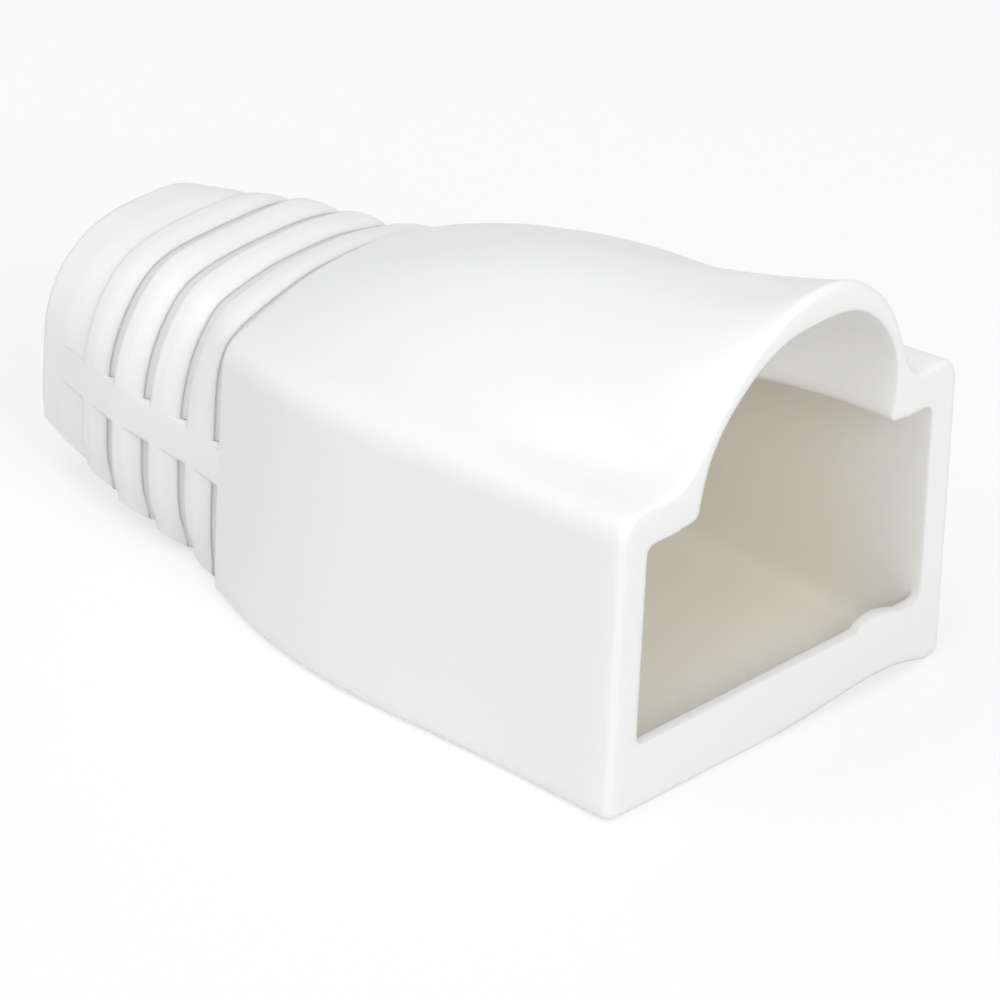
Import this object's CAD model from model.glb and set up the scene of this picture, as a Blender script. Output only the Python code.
"""Looks of a soft moulded strain relief boot for a network plug.

The boot is one piece of white, slightly milky PVC. Its shape comes from the CAD model, and this
script gives it its finish, softens its moulded edges, and sets it on a pale floor in soft light.
"""

from __future__ import annotations

import logging
import math
from dataclasses import dataclass
from enum import Enum
from typing import Any, Mapping, Union

import bpy
from mathutils import Matrix, Vector


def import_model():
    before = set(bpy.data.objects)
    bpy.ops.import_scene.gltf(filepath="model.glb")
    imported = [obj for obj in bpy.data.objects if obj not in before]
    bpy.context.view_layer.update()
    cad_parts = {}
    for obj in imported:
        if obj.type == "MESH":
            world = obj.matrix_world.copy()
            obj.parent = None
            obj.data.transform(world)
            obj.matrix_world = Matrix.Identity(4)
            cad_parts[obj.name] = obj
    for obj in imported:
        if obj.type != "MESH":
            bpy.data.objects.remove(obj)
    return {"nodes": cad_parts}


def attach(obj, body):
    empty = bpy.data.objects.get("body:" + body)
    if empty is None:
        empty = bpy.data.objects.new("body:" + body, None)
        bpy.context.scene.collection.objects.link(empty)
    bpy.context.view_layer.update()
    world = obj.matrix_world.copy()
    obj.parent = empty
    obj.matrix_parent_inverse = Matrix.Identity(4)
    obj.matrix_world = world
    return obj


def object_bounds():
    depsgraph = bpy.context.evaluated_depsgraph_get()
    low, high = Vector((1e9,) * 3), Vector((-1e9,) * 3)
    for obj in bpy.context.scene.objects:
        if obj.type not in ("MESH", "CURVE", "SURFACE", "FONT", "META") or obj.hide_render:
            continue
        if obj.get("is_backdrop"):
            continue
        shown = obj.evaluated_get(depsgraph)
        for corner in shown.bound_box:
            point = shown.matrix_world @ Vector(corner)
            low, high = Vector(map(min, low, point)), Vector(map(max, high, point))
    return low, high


LOG = logging.getLogger("boot")

MILLIMETRE = 0.001

Colour = tuple[float, float, float]
Number = Union["Value", float]


class Part(Enum):
    """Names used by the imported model."""

    BOOT = "boot"


class Ray(Enum):
    """Kinds of ray that see the plain white studio instead of the lamps' light."""

    CAMERA = "Is Camera Ray"
    GLOSSY = "Is Glossy Ray"
    TRANSMISSION = "Is Transmission Ray"


# ---------------------------------------------------------------- shader graphs


class Graph:
    """Node tree of one material or world, with one way to add to it."""

    def __init__(self, tree: bpy.types.NodeTree) -> None:
        """Starts from an empty tree."""
        self.tree = tree
        tree.nodes.clear()

    def add(
        self,
        kind: str,
        settings: Mapping[str, Any] | None = None,
        inputs: Mapping[str | int, Any] | None = None,
    ) -> bpy.types.Node:
        """Adds one node.

        Args:
            kind: Blender's type name for the node.
            settings: Properties that are set before the sockets.
            inputs: Socket values, or sockets and Values to link from.

        Returns:
            The new node.
        """
        node = self.tree.nodes.new(kind)
        for name, value in (settings or {}).items():
            setattr(node, name, value)
        for name, value in (inputs or {}).items():
            self.feed(node.inputs[name], value)
        return node

    def feed(self, socket: bpy.types.NodeSocket, value: Any) -> None:
        """Links value to a socket, or writes it there if it is a constant."""
        if isinstance(value, Value):
            value = value.socket
        if isinstance(value, bpy.types.NodeSocket):
            self.tree.links.new(value, socket)
        elif isinstance(value, tuple) and len(value) == 3 and socket.type == "RGBA":
            socket.default_value = (*value, 1.0)
        else:
            socket.default_value = value

    def value(self, socket: bpy.types.NodeSocket) -> Value:
        """Returns a socket as a Value that arithmetic works on."""
        return Value(self, socket)


@dataclass(frozen=True)
class Value:
    """A varying number in a graph, with ordinary arithmetic."""

    graph: Graph
    socket: bpy.types.NodeSocket

    def _math(self, operation: str, first: Number, second: Number) -> Value:
        """Adds a Math node with two operands."""
        node = self.graph.add("ShaderNodeMath", {"operation": operation}, {0: first, 1: second})
        return Value(self.graph, node.outputs[0])

    def __add__(self, other: Number) -> Value:
        """self + other."""
        return self._math("ADD", self, other)

    def __radd__(self, other: Number) -> Value:
        """other + self."""
        return self._math("ADD", other, self)

    def __sub__(self, other: Number) -> Value:
        """self - other."""
        return self._math("SUBTRACT", self, other)

    def __rsub__(self, other: Number) -> Value:
        """other - self."""
        return self._math("SUBTRACT", other, self)

    def __mul__(self, other: Number) -> Value:
        """self * other."""
        return self._math("MULTIPLY", self, other)

    def __rmul__(self, other: Number) -> Value:
        """other * self."""
        return self._math("MULTIPLY", other, self)

    def larger(self, other: Number) -> Value:
        """The larger of self and other."""
        return self._math("MAXIMUM", self, other)

    def spread(self, low: float, high: float, to_low: float, to_high: float) -> Value:
        """Maps the range low..high to to_low..to_high, clamped at both ends."""
        sockets = {
            "Value": self,
            "From Min": low,
            "From Max": high,
            "To Min": to_low,
            "To Max": to_high,
        }
        node = self.graph.add("ShaderNodeMapRange", {"clamp": True}, sockets)
        return Value(self.graph, node.outputs["Result"])


@dataclass(frozen=True)
class Grain:
    """One layer of procedural noise, sized in millimetres."""

    size: float
    detail: float = 2.0
    roughness: float = 0.5
    stretch: tuple[float, float, float] = (1.0, 1.0, 1.0)
    offset: tuple[float, float, float] = (0.0, 0.0, 0.0)

    def build(self, graph: Graph, millimetres: bpy.types.NodeSocket) -> Value:
        """Adds the noise.

        Args:
            graph: The material's graph.
            millimetres: Object coordinates, scaled to millimetres.

        Returns:
            The noise, around 0.5.
        """
        scale = tuple(1.0 / (self.size * along) for along in self.stretch)
        mapped = graph.add(
            "ShaderNodeMapping",
            {"vector_type": "POINT"},
            {"Vector": millimetres, "Location": self.offset, "Scale": scale},
        )
        noise = graph.add(
            "ShaderNodeTexNoise",
            {"noise_dimensions": "3D"},
            {
                "Vector": mapped.outputs["Vector"],
                "Scale": 1.0,
                "Detail": self.detail,
                "Roughness": self.roughness,
            },
        )
        return graph.value(noise.outputs["Fac"])


# ---------------------------------------------------------------- the boot's finish


@dataclass(frozen=True)
class MilkyPvc:
    """White flexible PVC as it comes from a fine-textured steel mould."""

    light: Colour = (0.965, 0.958, 0.93)
    shade: Colour = (0.942, 0.933, 0.9)
    hollow: Colour = (0.98, 0.94, 0.835)
    hollow_half_width: float = 6.4
    hollow_floor: float = 0.5
    hollow_depth: float = 3.5
    hollow_roof: float = 8.2
    hollow_back: float = -1.0
    hollow_back_fade: float = 1.5
    hollow_edge_fade: float = 0.2
    mouth: float = 12.425
    roughness: float = 0.44
    roughness_swing: float = 0.12
    edge_radius: float = 0.13
    milkiness: float = 0.6
    scatter: Colour = (1.0, 0.94, 0.86)
    scatter_depth: float = 0.45
    clouds: Grain = Grain(size=5.5, detail=3.0)
    streaks: Grain = Grain(size=1.1, detail=2.0, stretch=(7.0, 1.0, 1.0), offset=(3.0, 1.0, 7.0))
    specks: Grain = Grain(size=0.22, detail=2.0, roughness=0.6, offset=(11.0, 5.0, 2.0))
    sag: Grain = Grain(size=3.2, detail=1.0, offset=(2.0, 9.0, 4.0))
    skin: Grain = Grain(size=0.16, detail=3.0, roughness=0.6, offset=(6.0, 6.0, 1.0))
    sag_height: float = 0.012
    skin_height: float = 0.0022

    def build(self, name: str) -> bpy.types.Material:
        """Makes the material.

        Args:
            name: Name of the new material.

        Returns:
            The material, ready to assign.
        """
        material = bpy.data.materials.new(name)
        material.use_nodes = True
        graph = Graph(material.node_tree)
        place = graph.add("ShaderNodeTexCoord")
        scaled = graph.add(
            "ShaderNodeVectorMath",
            {"operation": "SCALE"},
            {"Vector": place.outputs["Object"], "Scale": 1.0 / MILLIMETRE},
        )
        millimetres = scaled.outputs["Vector"]
        shader = graph.add(
            "ShaderNodeBsdfPrincipled",
            {"subsurface_method": "RANDOM_WALK"},
            {
                "Base Color": self.colour(graph, millimetres),
                "Roughness": self.sheen(graph, millimetres),
                "IOR": 1.52,
                "Subsurface Weight": self.milkiness,
                "Subsurface Radius": self.scatter,
                "Subsurface Scale": self.scatter_depth * MILLIMETRE,
                "Normal": self.surface(graph, millimetres),
            },
        )
        graph.add("ShaderNodeOutputMaterial", None, {"Surface": shader.outputs["BSDF"]})
        return material

    def colour(self, graph: Graph, millimetres: bpy.types.NodeSocket) -> bpy.types.NodeSocket:
        """Cloudy white with faint streaks along the way the plastic flowed."""
        clouds = self.clouds.build(graph, millimetres)
        streaks = self.streaks.build(graph, millimetres)
        specks = self.specks.build(graph, millimetres)
        tone = clouds * 0.5 + streaks * 0.25 + specks * 0.25
        mix = graph.add(
            "ShaderNodeMix",
            {"data_type": "RGBA", "blend_type": "MIX"},
            {"Factor": tone.spread(0.32, 0.68, 0.0, 1.0), "A": self.shade, "B": self.light},
        )
        warm = graph.add(
            "ShaderNodeMix",
            {"data_type": "RGBA", "blend_type": "MIX"},
            {"Factor": self.inside(graph, millimetres), "A": mix.outputs["Result"], "B": self.hollow},
        )
        return warm.outputs["Result"]

    def inside(self, graph: Graph, millimetres: bpy.types.NodeSocket) -> Value:
        """1 deep in the plug's hollow, where the light that comes through the walls is warm."""
        place = graph.add("ShaderNodeSeparateXYZ", None, {"Vector": millimetres})
        along, across, height = (graph.value(socket) for socket in place.outputs)
        edge = self.hollow_edge_fade
        left = across.spread(-self.hollow_half_width - edge, -self.hollow_half_width, 0.0, 1.0)
        right = across.spread(self.hollow_half_width, self.hollow_half_width + edge, 1.0, 0.0)
        above = height.spread(self.hollow_floor, self.hollow_floor + edge, 0.0, 1.0)
        below = height.spread(self.hollow_roof, self.hollow_roof + edge, 1.0, 0.0)
        back = self.hollow_back
        front = along.spread(back, back + self.hollow_back_fade, 0.0, 1.0)
        deep = along.spread(self.mouth - self.hollow_depth, self.mouth, 1.0, 0.0)
        return left * right * above * below * front * deep

    def sheen(self, graph: Graph, millimetres: bpy.types.NodeSocket) -> Value:
        """Roughness that drifts slowly over the surface and flickers finely."""
        clouds = self.clouds.build(graph, millimetres)
        specks = self.specks.build(graph, millimetres)
        drift = (clouds * 0.6 + specks * 0.4).spread(0.3, 0.7, -0.5, 0.5)
        return self.roughness + drift * self.roughness_swing

    def surface(self, graph: Graph, millimetres: bpy.types.NodeSocket) -> bpy.types.NodeSocket:
        """Rounded edges, a slight sag of the soft walls, and the mould's fine texture."""
        edge = graph.add(
            "ShaderNodeBevel", {"samples": 6}, {"Radius": self.edge_radius * MILLIMETRE}
        )
        sag = graph.add(
            "ShaderNodeBump",
            None,
            {
                "Strength": 1.0,
                "Distance": self.sag_height * MILLIMETRE,
                "Height": self.sag.build(graph, millimetres),
                "Normal": edge.outputs["Normal"],
            },
        )
        skin = graph.add(
            "ShaderNodeBump",
            None,
            {
                "Strength": 1.0,
                "Distance": self.skin_height * MILLIMETRE,
                "Height": self.skin.build(graph, millimetres),
                "Normal": sag.outputs["Normal"],
            },
        )
        return skin.outputs["Normal"]


@dataclass
class Boot:
    """The moulded boot, carried over from the CAD model with its own finish."""

    node: bpy.types.Object
    finish: MilkyPvc = MilkyPvc()
    smooth_below: float = 32.0

    def dress(self) -> bpy.types.Material:
        """Gives the moulded piece its finish and smooth faces.

        Returns:
            The finish, for the lips that belong to the same moulding.
        """
        material = self.finish.build("boot_white_pvc")
        mesh = self.node.data
        mesh.materials.clear()
        mesh.materials.append(material)
        bpy.ops.object.select_all(action="DESELECT")
        self.node.select_set(True)
        bpy.context.view_layer.objects.active = self.node
        bpy.ops.object.shade_smooth_by_angle(angle=math.radians(self.smooth_below))
        LOG.info("%s: %d faces, %s", self.node.name, len(mesh.polygons), material.name)
        return material


@dataclass(frozen=True)
class SlotRow:
    """One row of slots in the tail, in the CAD model's millimetres."""

    edge_before_wall: float
    gap: float
    lip_width: float
    lip_height: float
    over: bool


@dataclass
class RibLips:
    """Thin lips on the ribs' front edges, which leave only a fine gap of each slot open.

    Each lip carries its rib's sloping front on, a little lower, almost to the next rib.
    """

    node: bpy.types.Object
    finish: bpy.types.Material
    first_wall: float = -4.075
    pitch: float = 1.55
    count: int = 4
    rail_middle: float = 4.0
    root_width: float = 0.94
    root_height: float = 0.965
    start_width: float = 0.999
    start_height: float = 0.9995
    overlap: float = 0.05
    smooth_below: float = 30.0
    rim_tolerance: float = 0.004
    rows: tuple[SlotRow, ...] = (
        SlotRow(edge_before_wall=0.45, gap=0.11, lip_width=0.976, lip_height=0.984, over=True),
        SlotRow(edge_before_wall=0.42, gap=0.17, lip_width=0.978, lip_height=0.996, over=False),
    )

    def build(self) -> bpy.types.Object:
        """Makes the lips as one object.

        Returns:
            The object, which rides on the boot's body.
        """
        points: list[Vector] = []
        faces: list[tuple[int, ...]] = []
        for row in self.rows:
            for number in range(self.count):
                wall = self.first_wall - self.pitch * number
                rim = self.rim(wall - row.edge_before_wall, row.over)
                self.add_lip(points, faces, rim, wall - row.gap, row)
        mesh = bpy.data.meshes.new("boot_rib_lips")
        mesh.from_pydata([point * MILLIMETRE for point in points], [], faces)
        mesh.materials.append(self.finish)
        lips = bpy.data.objects.new("boot_rib_lips", mesh)
        bpy.context.scene.collection.objects.link(lips)
        bpy.ops.object.select_all(action="DESELECT")
        lips.select_set(True)
        bpy.context.view_layer.objects.active = lips
        bpy.ops.object.mode_set(mode="EDIT")
        bpy.ops.mesh.select_all(action="SELECT")
        bpy.ops.mesh.normals_make_consistent(inside=False)
        bpy.ops.object.mode_set(mode="OBJECT")
        bpy.ops.object.shade_smooth_by_angle(angle=math.radians(self.smooth_below))
        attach(lips, "root")
        LOG.info("%s: %d faces", lips.name, len(faces))
        return lips

    def rim(self, along: float, over: bool) -> list[Vector]:
        """Outer edge of a rib's front face, from one side round to the other.

        Args:
            along: Where the front face is along X, in millimetres.
            over: Whether the rib is over the rails or under them.

        Returns:
            Points in order, in millimetres.
        """
        flip = 1.0 if over else -1.0
        found = []
        for vertex in self.node.data.vertices:
            point = vertex.co / MILLIMETRE
            height = (point.z - self.rail_middle) * flip
            if abs(point.x - along) < self.rim_tolerance and height > 0.0:
                found.append((round(point.y, 4), round(height, 4)))
        chain: list[tuple[float, float]] = []
        for spot in sorted(set(found)):
            while len(chain) > 1 and turns_up(chain[-2], chain[-1], spot):
                chain.pop()
            chain.append(spot)
        return [Vector((along, y, self.rail_middle + height * flip)) for y, height in chain]

    def add_lip(
        self,
        points: list[Vector],
        faces: list[tuple[int, ...]],
        rim: list[Vector],
        reach: float,
        row: SlotRow,
    ) -> None:
        """Adds one lip as a closed band with four long edges.

        Args:
            points: All points so far, added to.
            faces: All faces so far, added to.
            rim: The rib's front edge.
            reach: How far the lip goes along X.
            row: The slot row that it belongs to.
        """
        start = len(points)
        count = len(rim)
        back = rim[0].x - self.overlap
        rings = (
            (rim[0].x, self.start_width, self.start_height),
            (reach, row.lip_width, row.lip_height),
            (reach, self.root_width, self.root_height),
            (back, self.root_width, self.root_height),
        )
        for along, wide, tall in rings:
            points += [self.drawn_in(point, along, wide, tall) for point in rim]
        for ring in range(len(rings)):
            here = start + ring * count
            there = start + (ring + 1) % len(rings) * count
            for step in range(count - 1):
                faces.append((here + step, here + step + 1, there + step + 1, there + step))
        first = [start + ring * count for ring in range(len(rings))]
        faces.append(tuple(first))
        faces.append(tuple(corner + count - 1 for corner in reversed(first)))

    def drawn_in(self, point: Vector, along: float, wide: float, tall: float) -> Vector:
        """A point moved along X and drawn toward the tail's middle."""
        height = self.rail_middle + (point.z - self.rail_middle) * tall
        return Vector((along, point.y * wide, height))


def turns_up(
    first: tuple[float, float], second: tuple[float, float], third: tuple[float, float]
) -> bool:
    """Whether three points in order from left to right bend away from an outer edge."""
    run = (second[0] - first[0]) * (third[1] - first[1])
    rise = (second[1] - first[1]) * (third[0] - first[0])
    return run - rise >= 0.0


# ---------------------------------------------------------------- the studio


@dataclass(frozen=True)
class PaleFloor:
    """White matt table top that fades into the studio and keeps the boot's soft shadow."""

    tone: float = 0.8
    shadow_share: float = 0.42
    glow: float = 0.65

    def build(self, name: str) -> bpy.types.Material:
        """Makes the floor's material.

        Args:
            name: Name of the new material.

        Returns:
            The material, ready to assign.
        """
        material = bpy.data.materials.new(name)
        material.use_nodes = True
        graph = Graph(material.node_tree)
        plain = graph.add(
            "ShaderNodeBsdfDiffuse", None, {"Color": (self.tone, self.tone, self.tone)}
        )
        weak = self.tone * self.shadow_share
        paper = graph.add("ShaderNodeBsdfDiffuse", None, {"Color": (weak, weak, weak)})
        glow = graph.add("ShaderNodeEmission", None, {"Strength": self.glow})
        seen = graph.add(
            "ShaderNodeAddShader", None, {0: paper.outputs[0], 1: glow.outputs[0]}
        )
        mix = graph.add(
            "ShaderNodeMixShader",
            None,
            {0: studio_rays(graph), 1: plain.outputs[0], 2: seen.outputs[0]},
        )
        graph.add("ShaderNodeOutputMaterial", None, {"Surface": mix.outputs[0]})
        return material


def studio_rays(graph: Graph) -> Value:
    """1 for the rays that see the white studio, 0 for those that carry light."""
    paths = graph.add("ShaderNodeLightPath")
    camera, glossy, through = (graph.value(paths.outputs[ray.value]) for ray in Ray)
    return camera.larger(glossy).larger(through)


@dataclass(frozen=True)
class SoftBox:
    """One square lamp, aimed at the boot."""

    name: str
    azimuth: float
    elevation: float
    distance: float
    width: float
    power: float
    tint: Colour = (1.0, 1.0, 1.0)

    def build(self, centre: Vector) -> bpy.types.Object:
        """Hangs the lamp round a centre and turns it there.

        Args:
            centre: The point that the lamp lights, in metres.

        Returns:
            The lamp's object.
        """
        back = direction(self.azimuth, self.elevation)
        bpy.ops.object.light_add(type="AREA", location=centre + back * self.distance)
        lamp = bpy.context.active_object
        lamp.name = self.name
        lamp.rotation_mode = "QUATERNION"
        lamp.rotation_quaternion = (-back).to_track_quat("-Z", "Y")
        lamp.data.shape = "SQUARE"
        lamp.data.size = self.width
        lamp.data.energy = self.power
        lamp.data.color = self.tint
        return lamp


@dataclass
class Studio:
    """Floor, surrounding light and lamps."""

    floor_width: float = 2.4
    floor_gap: float = 0.02
    dome_light: float = 0.6
    dome_tint: Colour = (0.965, 0.98, 1.0)
    surface: PaleFloor = PaleFloor()
    lamps: tuple[SoftBox, ...] = (
        SoftBox("lamp_above", 0.0, 66.0, 0.30, 0.26, 0.28),
        SoftBox("lamp_front", 70.0, 31.0, 0.34, 0.14, 0.34),
        SoftBox("lamp_left", -15.0, 22.0, 0.34, 0.26, 0.04),
    )

    def build(self, low: Vector, high: Vector) -> None:
        """Sets the floor under the boot and the light round it.

        Args:
            low: Lowest corner of the boot, in metres.
            high: Highest corner of the boot, in metres.
        """
        self.build_floor(low)
        self.build_dome()
        centre = (low + high) / 2
        for lamp in self.lamps:
            lamp.build(centre)
        LOG.info("studio: floor, dome and %d lamps", len(self.lamps))

    def build_floor(self, low: Vector) -> None:
        """Lays the floor just under the boot."""
        bpy.ops.object.select_all(action="DESELECT")
        bpy.ops.mesh.primitive_plane_add(
            size=self.floor_width, location=(0.0, 0.0, low.z - self.floor_gap * MILLIMETRE)
        )
        floor = bpy.context.active_object
        floor.name = "studio_floor"
        floor.data.materials.append(self.surface.build("studio_white"))
        floor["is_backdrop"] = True

    def build_dome(self) -> None:
        """Surrounds the boot with even light that shows as plain white."""
        world = bpy.data.worlds.new("studio_dome")
        world.use_nodes = True
        bpy.context.scene.world = world
        graph = Graph(world.node_tree)
        light = graph.add(
            "ShaderNodeBackground", None, {"Color": self.dome_tint, "Strength": self.dome_light}
        )
        white = graph.add(
            "ShaderNodeBackground", None, {"Color": (1.0, 1.0, 1.0), "Strength": 1.0}
        )
        paths = graph.add("ShaderNodeLightPath")
        camera = paths.outputs[Ray.CAMERA.value]
        mix = graph.add(
            "ShaderNodeMixShader", None, {0: camera, 1: light.outputs[0], 2: white.outputs[0]}
        )
        graph.add("ShaderNodeOutputWorld", None, {"Surface": mix.outputs[0]})


@dataclass(frozen=True)
class LongLens:
    """Camera far from the boot, looking down on its open mouth and its near side."""

    aim: tuple[float, float, float] = (2.357, -0.625, 3.774)
    azimuth: float = 40.77
    elevation: float = 28.83
    roll: float = 3.02
    distance: float = 400.0
    focal_length: float = 510.3

    def build(self) -> bpy.types.Object:
        """Makes the scene's camera.

        Returns:
            The camera's object.
        """
        back = direction(self.azimuth, self.elevation)
        around = math.radians(self.azimuth)
        level = Vector((math.cos(around), math.sin(around), 0.0))
        turn = Matrix.Rotation(math.radians(self.roll), 3, back)
        right = turn @ level
        up = back.cross(right)
        matrix = Matrix((right, up, back)).transposed().to_4x4()
        matrix.translation = (Vector(self.aim) + back * self.distance) * MILLIMETRE
        bpy.ops.object.camera_add()
        camera = bpy.context.active_object
        camera.name = "camera_long_lens"
        camera.matrix_world = matrix
        camera.data.sensor_width = 36.0
        camera.data.lens = self.focal_length
        camera.data.clip_start = 0.01
        camera.data.clip_end = 20.0
        bpy.context.scene.camera = camera
        LOG.info("camera: %.1f mm lens at %.0f mm", self.focal_length, self.distance)
        return camera


def direction(azimuth: float, elevation: float) -> Vector:
    """Unit vector from the boot towards a viewer at these angles, in degrees."""
    turn = math.radians(azimuth)
    rise = math.radians(elevation)
    return Vector(
        (math.sin(turn) * math.cos(rise), -math.cos(turn) * math.cos(rise), math.sin(rise))
    )


def main() -> None:
    """Builds the scene, piece by piece."""
    logging.basicConfig(level=logging.INFO, format="%(name)s %(message)s")
    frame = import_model()
    cad_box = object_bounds()
    bpy.context.scene.view_settings.view_transform = "Standard"
    boot = Boot(frame["nodes"][Part.BOOT.value])
    finish = boot.dress()
    RibLips(boot.node, finish).build()
    Studio().build(*cad_box)
    LongLens().build()
    bpy.context.view_layer.update()


if __name__ == "__main__":
    main()
